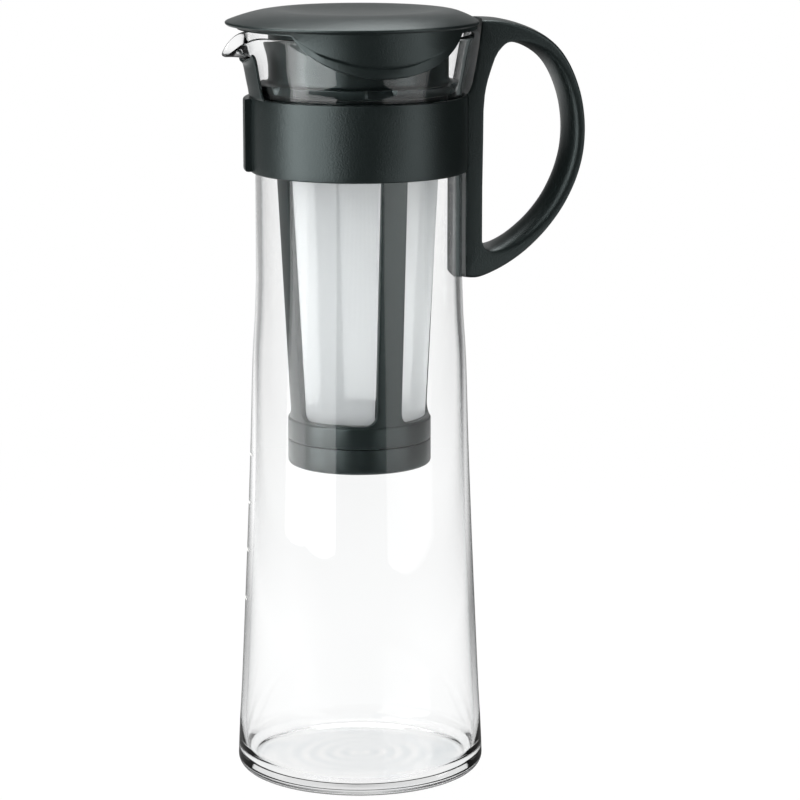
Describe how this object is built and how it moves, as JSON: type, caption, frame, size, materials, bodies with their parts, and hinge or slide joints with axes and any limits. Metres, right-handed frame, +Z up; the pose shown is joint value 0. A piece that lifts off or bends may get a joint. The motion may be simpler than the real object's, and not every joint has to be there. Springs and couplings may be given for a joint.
{
  "type": "cold brew coffee maker",
  "caption": "Tall glass jug with a clasped neck band and loop handle, a hanging mesh strainer with a pull-off cap, and a dished lift-off lid.",
  "frame": {"origin": "on the jug's axis, at the face it stands on", "axes": "+X towards the handle, -X towards the spout, +Z up the jug's axis"},
  "size_m": [0.1409, 0.0968, 0.298],
  "materials": {
    "clear_glass": "clear, fire-polished rim",
    "dark_plastic": "satin moulded polypropylene",
    "filter_mesh": "fine woven polyester mesh"
  },
  "bodies": {
    "jug": {"glass_jug": "clear_glass", "handle_band": "dark_plastic"},
    "strainer": {"strainer_frame": "dark_plastic", "filter_panel_1": "filter_mesh", "filter_panel_2": "filter_mesh", "filter_panel_3": "filter_mesh", "filter_panel_4": "filter_mesh"},
    "cap": {"strainer_cap": "dark_plastic"},
    "lid": {"lid": "dark_plastic"}
  },
  "joints": [
    {"name": "strainer_lift", "type": "slide", "parent": "jug", "child": "strainer", "axis": [0, 0, 1], "range_m": [0, 0.175]},
    {"name": "lid_lift", "type": "slide", "parent": "strainer", "child": "lid", "axis": [0, 0, 1], "range_m": [0, 0.03]},
    {"name": "cap_pull", "type": "slide", "parent": "strainer", "child": "cap", "axis": [0, 0, -1], "range_m": [0, 0.03]}
  ]
}
